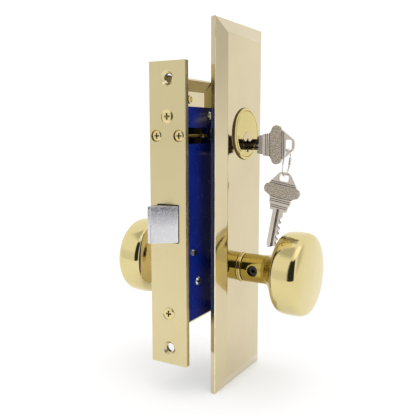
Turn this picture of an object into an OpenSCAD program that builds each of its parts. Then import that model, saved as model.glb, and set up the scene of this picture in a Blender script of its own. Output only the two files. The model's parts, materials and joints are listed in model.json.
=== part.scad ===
// Mortise lock set with a latch bolt, knob trim, keyed cylinder and two keys.
// X runs across the door and +X is outdoors, Y runs into the door, +Z is up.
// The origin is the middle of the door screws, on the front's outer face.

/* [Front] */
// Height of the front plates
front_h = 203.2; // [196:0.1:210]
// Width of the front plates
front_w = 28; // [27:0.1:30]
// Thickness of the armour plate, the outer one
armour_t = 1.7; // [1.4:0.1:2]
// Thickness of the case front, behind the armour plate
case_front_t = 2.2; // [1.8:0.1:2.6]
// Distance between the two door screws
door_screw_gap = 181; // [176:0.5:184]
// Diameter of the door screw holes
door_hole_d = 6.2; // [5:0.1:7]
// Distance between the two armour screws
armour_screw_gap = 132.2; // [128:0.1:134]

/* [Case] */
// Distance from the front to the knob and cylinder axes
backset = 51.1; // [51:0.1:52]
// Depth of the case behind the front's outer face
case_depth = 80; // [80:0.5:84]
// Thickness of the case
case_w = 25.4; // [25.4:0.1:26]
// Top of the case above the origin
case_top = 72.5; // [72:0.1:73.5]
// Bottom of the case below the origin
case_bottom = 71.5; // [71:0.1:72]
// Thickness of the case walls
wall = 1.6; // [1.4:0.1:1.8]

/* [Latch] */
// Width of the latch bolt across the door
latch_w = 16.4; // [15.5:0.1:16.6]
// Height of the latch bolt
latch_h = 24.5; // [23:0.1:25]
// Height of the latch bolt's middle
latch_z = -4.2; // [-5:0.1:-4]
// How far the latch bolt stands out
latch_throw = 11.8; // [10:0.1:12.5]

/* [Cylinder] */
// Height of the cylinder's axis
cylinder_z = 54.8; // [54.5:0.1:55]
// Diameter of the threaded cylinder body
cylinder_d = 29.36; // [29.2:0.01:29.4]
// How far the plug's axis lies below the cylinder's axis
plug_drop = 5.6; // [5.4:0.1:5.8]
// Height of the two set screws that hold the cylinders
set_screw_z = 53.6; // [53.4:0.1:54]

/* [Trim] */
// Height of the knob axis
knob_z = -40.3; // [-41:0.1:-40]
// Width of both escutcheon plates
plate_w = 69.85; // [68:0.05:72]
// Height of the outside plate
outer_plate_h = 254; // [240:1:260]
// Height of the inside plate
inner_plate_h = 184.2; // [183:0.1:186]
// Height of the middle of both plates
plate_z = 2.8; // [2:0.1:3.2]
// Distance between the two trim screws
trim_screw_gap = 153.8; // [153:0.1:154.4]
// Where the outside plate's rim stands on the door
outer_rim_x = 23.15; // [22.5:0.05:25]
// How much closer the inside knob stands than the outside one
trim_shift = 20; // [19.8:0.1:20.2]
// Largest radius of the knobs
knob_r = 28.9; // [27:0.1:29.5]

/* [Keys] */
// Thickness of the keys
key_t = 2; // [1.8:0.1:2.1]
// Height of the key blade
blade_h = 7.6; // [7:0.1:7.6]
// Length of the key blade
blade_l = 27; // [26:0.5:28]
// Mean radius of the key ring
ring_r = 9.4; // [9:0.1:9.8]

/* [Hidden] */
$fn = 96;

brass = [0.86, 0.76, 0.50];
nickel = [0.78, 0.78, 0.80];
steel = [0.62, 0.63, 0.65];
blue = [0.05, 0.10, 0.45];

// Clearance between faces that nearly touch, and overlap where one cuts another
gap = 0.05;
// Front
countersink_r = 4.9;
armour_screw_head_r = 4.55;
armour_screw_r = 1.9;
set_screw_head_r = 3.75;
set_screw_r = 1.65;
set_screw_tip = [28.6, 2.1];
front_t = armour_t + case_front_t;
case_x = case_w / 2;
inside_x = case_x - wall;
case_z_mid = (case_top - case_bottom) / 2;
case_h = case_top + case_bottom;

// Latch, tail and hub arm: the arm's round tip pushes the tail back
opening_w = latch_w + 1.2;
opening_h = latch_h + 1.8;
latch_back = 13;
tail_y = backset + 3.5;
tail_t = 4;
stem = 6;
guide_y = 40;
arm_r = 14;
arm_tip_r = 3;
arm_x = [-4, 1.5];
bolt_tip = 2.3;
hub_r = 9.6;
spindle_w = 7.9;

// Case posts as [y, z]; the lever turns on the first
posts = [[72, 64], [33.5, 67], [72, -62], [17.5, -45.5]];
post_r = 2.5;
cover_screw_r = 1.25;
rivet_at = [11.5, -24.5];
rivet_r = 1.75;

// Cylinder
cylinder_r = cylinder_d / 2;
plug_z = cylinder_z - plug_drop;
plug_r = 6.35;
plug_head_r = 7.05;
plug_back = 5;
face_x = 33.3;
bore_gap = 0.1;
boss_t = 2.9;
boss_x = 6.2;
set_screw_x = 8.7;
pin_r = 1.45;
pin_pitch = 3.96;
first_pin = 5.9;
pin_x = [for (i = [0:4]) face_x - first_pin - pin_pitch * i];
shear_z = plug_z + plug_r;
key_z = plug_z - 1.8;
keyway_w = 2.3;
cam_x = 2.4;
cam_t = 2.5;
cam_reach = 8.2;
cam_tip_r = 2.3;
cam_screw_r = 1.2;
cam_screw_head_r = 1.9;

// Outside plate section: rim, bevel and flat
outer_flange = 3.55;
outer_rise = 4.5;
outer_bevel = 10.2;
outer_t = 1.4;
cylinder_hole_r = 15.2;
outer_flat_x = outer_rim_x + outer_flange + outer_rise;
inner_rim_x = case_x + 0.3;
inner_flange = 2;
inner_rise = 3.4;
inner_bevel = 9;
inner_t = 1.3;
inner_flat_x = inner_rim_x + inner_flange + inner_rise;
trim_hole_r = 2.1;
trim_thread_r = 1.7;
trim_post_r = 4;
trim_post_x = [14, 26];
bush_r = 3;
spigot_r = 9;
spigot_hole_r = 9.4;
shank_r = 10.2;
shank_gap = 2.1;
knob_ring_r = 10.8;
knob_ring_t = 1.5;
knob_screw_r = 3.8;
outer_screw_x = 42.4;
inner_screw_x = 44.8;

// Keys: u runs from the shoulder to the bow, v across the key
key_x = 41;
neck = 4;
cut_depth = [1.6, 2.3, 1.3, 2.1, 1.7];
hole_u = [20.9, 25.4];
hole_v = 3.4;
wire_r = 0.55;
ring_gap = 0.35;
ring_lean = 7;
ring_yaw = 8;
spare_lean = 10.3;
ring_top = [key_x + 22.8, backset, key_z - hole_v + wire_r + ring_gap];
ring_bottom = ring_top - 2 * ring_r * [sin(ring_lean), 0, cos(ring_lean)];

// ---- helpers ----

// A box from its low corner to its high corner
module block(low, high) {
    translate(low) cube(high - low);
}

// A rod along X, from x0 to x1
module rod_x(x0, x1, at, r, r1 = -1) {
    translate([x0, at[0], at[1]]) rotate([0, 90, 0])
        cylinder(h = x1 - x0, r1 = r, r2 = r1 < 0 ? r : r1);
}

// A rod along Y, from y0 to y1
module rod_y(y0, y1, at, r, r1 = -1) {
    translate([at[0], y0, at[1]]) rotate([-90, 0, 0])
        cylinder(h = y1 - y0, r1 = r, r2 = r1 < 0 ? r : r1);
}

// A turned shape about an axis along X; points are [radius, x]
module turned_x(at, points) {
    translate([0, at[0], at[1]]) rotate([0, 90, 0])
        rotate_extrude() polygon(points);
}

// A cross recess in a screw head that faces -Y
module cross_y(at, y, size, depth) {
    for (turn = [0, 90])
        translate([at[0], y, at[1]]) rotate([0, turn, 0])
            translate([-size / 2, -1, -size / 8]) cube([size, depth + 1, size / 4]);
}

// Moves what is drawn for the outside to the inside of the door
module to_inside() {
    mirror([1, 0, 0]) translate([-trim_shift, 0, 0]) children();
}

// A coil along Z from 0 to its length, made of a swept ring of points
module coil(r, wire, turns, length, steps = 16, sides = 6) {
    count = turns * steps;
    points = [for (i = [0:count], j = [0:sides - 1])
        let (a = 360 * i / steps, b = 360 * j / sides, q = r + wire * cos(b))
        [q * cos(a), q * sin(a), wire + (length - 2 * wire) * i / count + wire * sin(b)]];
    sweep(points, count, sides);
}

// Closes rings of points into one tube
module sweep(points, count, sides) {
    walls = [for (i = [0:count - 1], j = [0:sides - 1])
        [i * sides + j, i * sides + (j + 1) % sides,
         (i + 1) * sides + (j + 1) % sides, (i + 1) * sides + j]];
    first = [[for (j = [sides - 1:-1:0]) j]];
    last = [[for (j = [0:sides - 1]) count * sides + j]];
    polyhedron(points, concat(first, walls, last));
}

// ---- front ----

module armour_front() {
    color(brass) difference() {
        block([-front_w / 2, 0, -front_h / 2], [front_w / 2, armour_t, front_h / 2]);
        latch_opening();
        for (s = [-1, 1]) {
            rod_y(-gap, armour_t + gap, [0, s * door_screw_gap / 2], countersink_r, door_hole_d / 2);
            rod_y(-1, armour_t + 1, [0, s * door_screw_gap / 2], door_hole_d / 2);
            rod_y(-gap, armour_t + gap, [0, s * armour_screw_gap / 2],
                  armour_screw_head_r + 0.15, armour_screw_r + 0.2);
            rod_y(-1, armour_t + 1, [s * set_screw_x, set_screw_z], set_screw_head_r + 0.3);
        }
    }
}

module latch_opening() {
    block([-opening_w / 2, -1, latch_z - opening_h / 2],
          [opening_w / 2, front_t + 1, latch_z + opening_h / 2]);
}

module armour_screws() {
    color(brass) for (s = [-1, 1]) armour_screw([0, s * armour_screw_gap / 2]);
}

module armour_screw(at) {
    difference() {
        union() {
            rod_y(0, armour_t, at, armour_screw_head_r, armour_screw_r + 0.1);
            rod_y(armour_t, 9, at, armour_screw_r);
        }
        cross_y(at, 0, 4.6, 1.2);
    }
}

module case_front() {
    color(brass) difference() {
        block([-front_w / 2, armour_t, -front_h / 2], [front_w / 2, front_t, front_h / 2]);
        latch_opening();
        for (s = [-1, 1]) {
            rod_y(0, front_t + 1, [0, s * door_screw_gap / 2], door_hole_d / 2);
            rod_y(0, front_t + 1, [0, s * armour_screw_gap / 2], armour_screw_r + gap);
            rod_y(0, front_t + 1, [s * set_screw_x, set_screw_z], set_screw_r + 0.1);
        }
    }
}

module cylinder_set_screws() {
    color(brass) for (s = [-1, 1]) cylinder_set_screw([s * set_screw_x, set_screw_z]);
}

module cylinder_set_screw(at) {
    tip_y = backset - cylinder_r + 0.7;
    sunk = 0.5;
    difference() {
        union() {
            rod_y(sunk, armour_t, at, set_screw_head_r);
            rod_y(armour_t, set_screw_tip[0], at, set_screw_r);
            rod_y(set_screw_tip[0], tip_y, at, set_screw_tip[1]);
        }
        cross_y(at, sunk, 4, 0.9);
    }
}

// ---- case ----

// Openings in one side of the case, which lies between x0 and x1
module side_openings(x0, x1) {
    block([x0, front_t + 1.5, set_screw_z - 5.3], [x1, backset - 13, set_screw_z + 5.3]);
    rod_x(x0, x1, [backset, cylinder_z], cylinder_r + bore_gap);
    rod_x(x0, x1, [backset, knob_z], hub_r + 0.06);
}

// Collar that a cylinder screws into, on the inner face of a case side
module cylinder_boss() {
    difference() {
        rod_x(boss_x, inside_x, [backset, cylinder_z], cylinder_r + boss_t);
        rod_x(boss_x - 1, case_x, [backset, cylinder_z], cylinder_r + bore_gap);
        rod_y(backset - 22, backset - 10, [set_screw_x, set_screw_z], set_screw_tip[1] + 0.1);
        block([boss_x - 1, backset - 20, case_top - wall - 2 * gap], [case_x, backset + 20, case_top]);
    }
}

module case_body() {
    color(blue) {
        difference() {
            block([-case_x, front_t, -case_bottom], [inside_x, case_depth, case_top]);
            block([-inside_x, front_t - 1, wall - case_bottom],
                  [case_x, case_depth - wall, case_top - wall]);
            side_openings(-case_x - 1, -inside_x + 1);
        }
        mirror([1, 0, 0]) cylinder_boss();
    }
}

module case_cover() {
    color(blue) {
        difference() {
            block([inside_x, front_t, -case_bottom], [case_x, case_depth, case_top]);
            side_openings(inside_x - 1, case_x + 1);
            for (p = posts)
                rod_x(inside_x - 1, case_x + 1, p, cover_screw_r + 0.25);
            rod_x(inside_x - 1, case_x + 1, rivet_at, rivet_r + gap);
        }
        cylinder_boss();
    }
}

module case_posts() {
    color(steel) for (p = posts)
        difference() {
            rod_x(-inside_x, inside_x, p, post_r);
            rod_x(inside_x - 8, inside_x + 1, p, cover_screw_r + gap);
        }
}

module cover_screws() {
    color(steel) for (p = posts)
        difference() {
            union() {
                rod_x(inside_x - 7, case_x, p, cover_screw_r);
                rod_x(case_x, case_x + 1.1, p, 2.9, 2.2);
            }
            block([case_x + 0.5, p[0] - 4, p[1] - 0.35], [case_x + 2, p[0] + 4, p[1] + 0.35]);
        }
}

module cover_rivet() {
    color(steel) {
        rod_x(inside_x - 2, case_x, rivet_at, rivet_r);
        rod_x(case_x, case_x + 1.6, rivet_at, 2.5, 2.1);
    }
}

// ---- latch ----

module latch_guide() {
    color(steel) difference() {
        block([-inside_x, guide_y, latch_z - 9], [inside_x, guide_y + 2, latch_z + 9]);
        block([-stem / 2 - 0.35, guide_y - 1, latch_z - stem / 2 - 0.35],
              [stem / 2 + 0.35, guide_y + 3, latch_z + stem / 2 + 0.35]);
    }
}

module latch_bolt() {
    half = latch_w / 2;
    color(nickel) difference() {
        translate([0, 0, latch_z - latch_h / 2])
            linear_extrude(latch_h)
                polygon([[-half, latch_back], [half, latch_back], [half, -0.4],
                         [bolt_tip - half, -latch_throw], [-half, -latch_throw]]);
        block([-stem / 2, latch_back - 6, latch_z - stem / 2],
              [stem / 2, latch_back + 1, latch_z + stem / 2]);
    }
}

module latch_tail() {
    half = stem / 2;
    color(steel) {
        block([-half, latch_back - 6, latch_z - half], [half, tail_y, latch_z + half]);
        block([arm_x[0], tail_y, knob_z + arm_r - 3.5], [arm_x[1], tail_y + tail_t, latch_z + 5]);
    }
}

module latch_spring_washer() {
    color(steel) difference() {
        rod_y(latch_back + gap, latch_back + 1, [0, latch_z], 7);
        block([-stem / 2 - 0.1, 0, latch_z - stem / 2 - 0.1],
              [stem / 2 + 0.1, 30, latch_z + stem / 2 + 0.1]);
    }
}

module latch_spring() {
    start = latch_back + 1;
    color(steel) translate([0, start + gap, latch_z]) rotate([-90, 0, 0])
        coil(5.3, 0.55, 8, guide_y - start - 2 * gap);
}

// ---- hub and key lever ----

module hub() {
    half = spindle_w / 2 + gap;
    color(steel) difference() {
        union() {
            rod_x(-case_x, case_x, [backset, knob_z], hub_r);
            block([arm_x[0], backset - 2.6, knob_z], [arm_x[1], backset + 2.6, knob_z + arm_r]);
            rod_x(arm_x[0], arm_x[1], [backset, knob_z + arm_r], arm_tip_r);
        }
        block([-case_x - 1, backset - half, knob_z - half],
              [case_x + 1, backset + half, knob_z + half]);
    }
}

module hub_spring() {
    color(steel) translate([-inside_x + 0.3, backset, knob_z]) rotate([0, 90, 0])
        coil(hub_r + 1, 0.45, 5, 6, 20);
}

module key_lever() {
    pivot = posts[0];
    front_y = backset + 6.9;
    color(steel) difference() {
        union() {
            rod_x(cam_x, cam_x + cam_t, pivot, 5);
            translate([cam_x, 0, 0]) rotate([90, 0, 90]) linear_extrude(cam_t)
                polygon([[front_y, 57], [pivot[0] - 3, pivot[1] + 3],
                         [pivot[0] + 2, pivot[1] - 3], [front_y + 5, 54],
                         [front_y + 5, 8], [front_y, 8]]);
        }
        rod_x(0, 10, pivot, post_r + 0.06);
    }
}

module spindle() {
    half = spindle_w / 2;
    reach = 60;
    color(steel) block([trim_shift - reach, backset - half, knob_z - half],
                       [reach - 10, backset + half, knob_z + half]);
}

// ---- cylinder ----

// Ring grooves that stand for the cylinder's fine thread, as [radius, x] points
function thread_points(x0, pitch, count) =
    [for (i = [0:count - 1], k = [0, 1]) [cylinder_r - 0.45 * k, x0 + pitch * (i + k / 2)]];

module cylinder_body() {
    at = [backset, cylinder_z];
    color(brass) difference() {
        turned_x(at, concat([[0, plug_back]], thread_points(plug_back, 0.8, 30),
            [[cylinder_r, 29], [cylinder_r, outer_flat_x + gap],
             [15.9, outer_flat_x + gap], [15.9, face_x - 0.5], [15.3, face_x], [0, face_x]]));
        rod_x(0, face_x + 1, [backset, plug_z], plug_r + 0.07);
        rod_x(face_x - 1.5, face_x + 1, [backset, plug_z], plug_head_r + 0.1);
        for (x = pin_x)
            translate([x, backset, shear_z - 1]) cylinder(h = 13, r = pin_r + 0.1);
        block([pin_x[4] - 2.5, backset - 2.1, cylinder_z + 12.1],
              [pin_x[0] + 2.5, backset + 2.1, cylinder_z + 20]);
        for (s = [-1, 1])
            translate([0, backset + s * cylinder_r, set_screw_z])
                block([0, -1, -2.3], [16, 1, 2.3]);
    }
}

module cylinder_collar() {
    x = outer_flat_x + gap;
    color(brass) turned_x([backset, cylinder_z],
        [[16, x], [18.1, x], [18.1, x + 0.5], [17.6, x + 1.2], [16.8, x + 1.8], [16, x + 1.95]]);
}

module driver_pins() {
    color(brass) for (x = pin_x)
        translate([x, backset, shear_z + 0.15]) cylinder(h = 4.5, r = pin_r);
}

// Closely wound springs, drawn as sleeves with a groove between turns
module pin_springs() {
    turns = 10;
    pitch = 0.65;
    outside = [for (i = [0:turns - 1], k = [0, 1]) [1.35 - 0.25 * k, pitch * (i + k / 2)]];
    color(steel) for (x = pin_x)
        translate([x, backset, shear_z + 4.7])
            rotate_extrude()
                polygon(concat([[0.9, 0]], outside, [[1.35, turns * pitch], [0.9, turns * pitch]]));
}

module pin_cover() {
    color(brass) block([pin_x[4] - 2.4, backset - 2, cylinder_z + 12.2],
                       [pin_x[0] + 2.4, backset + 2, cylinder_z + 13.2]);
}

// Where a cam screw's axis crosses the Y-Z plane
function cam_screw(s) = [backset + s * 3.7, plug_z + 0.6];

module cylinder_plug() {
    at = [backset, plug_z];
    half = keyway_w / 2;
    color(brass) {
        difference() {
            union() {
                rod_x(plug_back, face_x - 1, at, plug_r);
                rod_x(face_x - 1.4, face_x + 0.1, at, plug_head_r);
            }
            block([0, backset - half, plug_z - 8], [face_x + 1, backset + half, key_z + 4.1]);
            for (x = pin_x)
                translate([x, backset, plug_z]) cylinder(h = 8, r = pin_r + 0.1);
            for (s = [-1, 1])
                rod_x(0, 10, cam_screw(s), cam_screw_r + gap);
        }
        block([plug_back, backset + half - 0.5, key_z - 0.5],
              [face_x + 0.1, backset + half + 0.1, key_z + 0.5]);
    }
}

module key_pins() {
    tip_z = key_z + blade_h / 2 + 0.25;
    color(brass) for (x = pin_x)
        translate([x, backset, tip_z]) {
            cylinder(h = 0.8, r1 = 0.6, r2 = pin_r);
            translate([0, 0, 0.8]) cylinder(h = shear_z - 0.35 - tip_z - 0.8, r = pin_r);
        }
}

module cylinder_cam() {
    color(brass) difference() {
        translate([cam_x, backset, plug_z]) rotate([90, 0, 90]) linear_extrude(cam_t) {
            circle(r = plug_r - 0.1);
            translate([-cam_tip_r, -cam_reach]) square([2 * cam_tip_r, cam_reach]);
            translate([0, -cam_reach]) circle(r = cam_tip_r);
        }
        for (s = [-1, 1])
            rod_x(0, 10, cam_screw(s), cam_screw_r + gap);
    }
}

module cam_screws() {
    color(steel) for (s = [-1, 1])
        difference() {
            union() {
                rod_x(cam_x - 1.2, cam_x, cam_screw(s), cam_screw_head_r);
                rod_x(cam_x, 9, cam_screw(s), cam_screw_r);
            }
            block([0, cam_screw(s)[0] - 2.5, cam_screw(s)[1] - 0.25],
                  [cam_x - 0.6, cam_screw(s)[0] + 2.5, cam_screw(s)[1] + 0.25]);
        }
}

// ---- trim ----

// Solid under a bevelled plate; edges pulls the sides in for the hollow
module plate_solid(rim_x, flange, rise, bevel, height, edge = 0, sink = 0) {
    y0 = backset - plate_w / 2 + edge;
    y1 = backset + plate_w / 2 - edge;
    z0 = plate_z - height / 2 + edge;
    z1 = plate_z + height / 2 - edge;
    crease = bevel - edge;
    top = rim_x + flange + rise - sink;
    shoulder = rim_x + flange - sink * 0.45;
    low = rim_x - (edge > 0 ? 1 : 0);
    intersection() {
        translate([0, 0, z0]) linear_extrude(z1 - z0)
            polygon([[low, y0], [shoulder, y0], [top, y0 + crease], [top, y1 - crease],
                     [shoulder, y1], [low, y1]]);
        translate([0, y1, 0]) rotate([90, 0, 0]) linear_extrude(y1 - y0)
            polygon([[low, z0], [shoulder, z0], [top, z0 + crease], [top, z1 - crease],
                     [shoulder, z1], [low, z1]]);
    }
}

module outer_plate() {
    color(brass) difference() {
        plate_solid(outer_rim_x, outer_flange, outer_rise, outer_bevel, outer_plate_h);
        plate_solid(outer_rim_x, outer_flange, outer_rise, outer_bevel, outer_plate_h,
                    outer_t, outer_t);
        rod_x(outer_flat_x - 5, outer_flat_x + 1, [backset, cylinder_z], cylinder_hole_r);
        rod_x(outer_flat_x - 5, outer_flat_x + 1, [backset, knob_z], spigot_hole_r);
    }
}

module outer_posts() {
    color(brass) for (s = [-1, 1])
        difference() {
            rod_x(trim_post_x[0], outer_flat_x - outer_t, trim_screw(s), trim_post_r);
            rod_x(trim_post_x[0] - 1, trim_post_x[1], trim_screw(s), trim_thread_r);
        }
}

// Where a trim screw's axis crosses the Y-Z plane
function trim_screw(s) = [backset, plate_z + s * trim_screw_gap / 2];

module inner_plate() {
    color(brass) mirror([1, 0, 0]) difference() {
        plate_solid(inner_rim_x, inner_flange, inner_rise, inner_bevel, inner_plate_h);
        plate_solid(inner_rim_x, inner_flange, inner_rise, inner_bevel, inner_plate_h,
                    inner_t, inner_t);
        rod_x(inner_flat_x - 5, inner_flat_x + 1, [backset, knob_z], spigot_hole_r);
        for (s = [-1, 1])
            rod_x(inner_flat_x - 5, inner_flat_x + 1, trim_screw(s), trim_hole_r);
    }
}

module inner_bushes() {
    color(brass) mirror([1, 0, 0]) for (s = [-1, 1])
        difference() {
            rod_x(inner_rim_x + 0.2, inner_flat_x - inner_t, trim_screw(s), bush_r);
            rod_x(inner_rim_x - 1, inner_flat_x, trim_screw(s), trim_hole_r);
        }
}

// Ring that the knob's shank turns in, on the face of a plate
module knob_ring(flat_x) {
    low = flat_x + gap;
    high = flat_x + knob_ring_t;
    turned_x([backset, knob_z], [[spigot_r + 0.3, low], [knob_ring_r, low],
        [knob_ring_r, high - 0.4], [knob_ring_r - 0.3, high], [spigot_r + 0.3, high]]);
}

module outer_knob_ring() {
    color(brass) knob_ring(outer_flat_x);
}

module inner_knob_ring() {
    color(brass) mirror([1, 0, 0]) knob_ring(inner_flat_x);
}

// Shank in outside coordinates: start is where its full radius begins
module knob_shank(spigot_x, start, screw_x) {
    at = [backset, knob_z];
    half = spindle_w / 2 + gap;
    difference() {
        turned_x(at, [[0, spigot_x], [spigot_r, spigot_x], [spigot_r, start], [shank_r, start],
            [shank_r, 49.5], [10.8, 51.3], [12.1, 53], [12.4, 56], [8, 57], [8, 64], [0, 64]]);
        block([spigot_x - 1, backset - half, knob_z - half],
              [62, backset + half, knob_z + half]);
        rod_y(backset - 12, backset - half - 0.01, [screw_x, knob_z], knob_screw_r + 0.1);
    }
}

module outer_knob_shank() {
    color(brass) knob_shank(24, outer_flat_x + shank_gap, outer_screw_x);
}

module inner_knob_shank() {
    color(brass) to_inside() knob_shank(trim_shift + case_x + 0.6,
        trim_shift + inner_flat_x + shank_gap, inner_screw_x);
}

// Hollow turned head, drum-shaped with a low dome, in outside coordinates
module knob_head() {
    r = knob_r;
    turned_x([backset, knob_z], [
        [12.5, 53.4], [13.8, 54.2], [17.4, 56.8], [r - 6.9, 59.8], [r - 3.4, 61.6],
        [r - 1.3, 63.6], [r - 0.3, 66.6], [r, 71], [r - 0.2, 76], [r - 1.1, 79.4],
        [r - 3.2, 81.9], [r - 7.4, 83.3], [12, 84], [0, 84.3],
        [0, 82.6], [12, 82.3], [r - 8, 81.6], [r - 4.4, 80.4], [r - 2.7, 78.6],
        [r - 1.8, 75.8], [r - 1.6, 71], [r - 1.9, 66.9], [r - 2.8, 64.5], [r - 4.5, 62.9],
        [r - 7.7, 61.2], [16.4, 58.2], [13.2, 55.9], [12.5, 55.4]]);
}

module outer_knob_head() {
    color(brass) knob_head();
}

module inner_knob_head() {
    color(brass) to_inside() knob_head();
}

// Headless screw with a hex socket that bears on the spindle
module knob_screw(x) {
    difference() {
        rod_y(backset - 8, backset - spindle_w / 2 - 2 * gap, [x, knob_z], knob_screw_r);
        translate([x, backset - 9, knob_z]) rotate([-90, 0, 0]) cylinder(h = 3.5, r = 2, $fn = 6);
    }
}

module outer_knob_screw() {
    color(steel) knob_screw(outer_screw_x);
}

module inner_knob_screw() {
    color(steel) to_inside() knob_screw(inner_screw_x);
}

// ---- keys ----

// Upper half of the outline of the key's neck, bow and loop, as [u, v]
bow_side = [[0, 6.1], [neck, 6.6], [neck + 0.6, 7.4], [9.2, 7.9], [10.6, 10.4], [12, 11.3],
    [16.6, 11.3], [18.6, 9.6], [20.3, 8.6], [26, 4.3], [27.1, 2.6]];

module key_outline() {
    cuts = [for (i = [0:4]) [-first_pin - pin_pitch * i, cut_depth[i]]];
    difference() {
        union() {
            polygon(concat(bow_side,
                [for (i = [len(bow_side) - 1:-1:0]) [bow_side[i][0], -bow_side[i][1]]]));
            polygon([[1, blade_h / 2], [1, -blade_h / 2], [2.6 - blade_l, -blade_h / 2],
                     [-blade_l, 1.2 - blade_h / 2], [2.9 - blade_l, blade_h / 2]]);
        }
        translate([hole_u[0], -hole_v]) square([hole_u[1] - hole_u[0], 2 * hole_v]);
        for (c = cuts)
            polygon([[c[0] - 0.5, blade_h / 2 - c[1]], [c[0] + 0.5, blade_h / 2 - c[1]],
                     [c[0] + 2, blade_h / 2 + 0.2], [c[0] - 2, blade_h / 2 + 0.2]]);
    }
}

// A key in the X-Z plane with its shoulder at the origin
module flat_key() {
    half = key_t / 2;
    difference() {
        union() {
            rotate([90, 0, 0]) translate([0, 0, -half]) linear_extrude(key_t) key_outline();
            for (s = [-1, 1]) rod_y(-half, half, [14.3, s * 9.6], 3.6);
        }
        block([-blade_l - 1, half - 0.7, -0.9], [1.5, half + 1, 0.9]);
        block([-blade_l - 1, -half - 1, -2.6], [1.5, 0.4 - half, -1.4]);
        for (s = [-1, 1])
            translate([10.4, s > 0 ? half - 0.3 : -half - 1, -6.4]) cube([8.4, 1.3, 12.8]);
    }
}

module key() {
    color(nickel) translate([key_x, backset, key_z]) flat_key();
}

module key_ring() {
    color(steel) translate(ring_top) rotate([0, ring_lean, 0])
        translate([0, 0, -ring_r]) rotate([0, 0, ring_yaw]) rotate([0, 90, 0])
            rotate_extrude() translate([ring_r, 0]) circle(r = wire_r, $fn = 24);
}

module ring_sleeve() {
    color(steel) translate(ring_top) rotate([0, ring_lean, 0])
        translate([0, 0, -ring_r]) rotate([0, 0, ring_yaw])
            translate([0, ring_r - 0.1, -2.4]) cylinder(h = 4.8, r = 1.05);
}

module spare_key() {
    hang = hole_u[1] - wire_r - ring_gap;
    color(nickel) translate(ring_bottom) rotate([0, spare_lean - 90, 0])
        rotate([180, 0, 0]) translate([-hang, 0, 0]) flat_key();
}

armour_front();
armour_screws();
case_front();
case_body();
case_cover();
case_posts();
cover_screws();
cover_rivet();
latch_guide();
latch_bolt();
latch_tail();
latch_spring();
latch_spring_washer();
hub();
hub_spring();
key_lever();
spindle();
cylinder_set_screws();
cylinder_body();
cylinder_collar();
driver_pins();
pin_springs();
pin_cover();
cylinder_plug();
key_pins();
cylinder_cam();
cam_screws();
outer_plate();
outer_posts();
outer_knob_ring();
outer_knob_shank();
outer_knob_head();
outer_knob_screw();
inner_plate();
inner_bushes();
inner_knob_ring();
inner_knob_shank();
inner_knob_head();
inner_knob_screw();
key();
key_ring();
ring_sleeve();
spare_key();
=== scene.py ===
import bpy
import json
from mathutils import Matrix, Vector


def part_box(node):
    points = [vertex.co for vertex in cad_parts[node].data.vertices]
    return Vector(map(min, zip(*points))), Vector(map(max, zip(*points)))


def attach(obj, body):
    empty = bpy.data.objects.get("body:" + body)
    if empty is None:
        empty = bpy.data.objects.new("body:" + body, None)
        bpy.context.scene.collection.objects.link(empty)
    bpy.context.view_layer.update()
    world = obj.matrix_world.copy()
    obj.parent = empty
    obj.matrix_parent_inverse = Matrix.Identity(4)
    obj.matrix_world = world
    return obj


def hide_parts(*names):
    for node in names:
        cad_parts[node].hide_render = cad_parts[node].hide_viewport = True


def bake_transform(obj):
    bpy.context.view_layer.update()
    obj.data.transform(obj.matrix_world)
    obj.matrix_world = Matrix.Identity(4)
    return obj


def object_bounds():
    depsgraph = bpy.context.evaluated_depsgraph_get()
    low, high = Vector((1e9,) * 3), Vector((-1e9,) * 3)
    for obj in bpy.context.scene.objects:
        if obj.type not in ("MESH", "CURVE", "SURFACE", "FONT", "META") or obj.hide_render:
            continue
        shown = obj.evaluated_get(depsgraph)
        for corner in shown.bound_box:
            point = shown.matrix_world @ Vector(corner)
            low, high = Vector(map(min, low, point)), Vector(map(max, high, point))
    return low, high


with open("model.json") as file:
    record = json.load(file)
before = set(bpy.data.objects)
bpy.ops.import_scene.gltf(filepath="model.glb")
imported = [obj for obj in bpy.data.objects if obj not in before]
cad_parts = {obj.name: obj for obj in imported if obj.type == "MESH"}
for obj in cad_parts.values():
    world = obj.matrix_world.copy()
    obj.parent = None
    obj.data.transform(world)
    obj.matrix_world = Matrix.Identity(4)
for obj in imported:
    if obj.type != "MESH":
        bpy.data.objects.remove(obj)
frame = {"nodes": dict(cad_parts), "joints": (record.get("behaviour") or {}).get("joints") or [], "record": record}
cad_box = [list(c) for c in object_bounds()]

import json
import math

import bmesh
import bpy
from mathutils import Matrix, Vector
from mathutils.geometry import tessellate_polygon

# Shapes are written in millimetres and scaled when a mesh is made.
MM = 0.001
scene = bpy.context.scene
nodes = frame["nodes"]
record = frame["record"]
slots = {s["node"]: s["material_slot"] for s in record["subparts"]}
mounts = {m["name"]: m for m in record["mounts"]}
body_of = {n: b for b, ns in record["behaviour"]["bodies"].items() for n in ns}


def corners(node):
    low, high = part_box(node)
    return Vector(low) / MM, Vector(high) / MM


# ---------------------------------------------------------------- camera


def make_camera():
    cam = bpy.data.objects.new("camera", bpy.data.cameras.new("camera"))
    cam.data.lens = 50
    cam.data.sensor_width = 36
    cam.data.clip_start = 0.01
    azimuth, drop = math.radians(30.03), math.radians(7.51)
    aim = Vector((-math.sin(azimuth) * math.cos(drop), math.cos(azimuth) * math.cos(drop), -math.sin(drop)))
    cam.location = (0.2120, -0.3143, 0.0564)
    cam.rotation_mode = "QUATERNION"
    cam.rotation_quaternion = aim.to_track_quat("-Z", "Y")
    scene.collection.objects.link(cam)
    scene.camera = cam


# ---------------------------------------------------------------- materials


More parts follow.
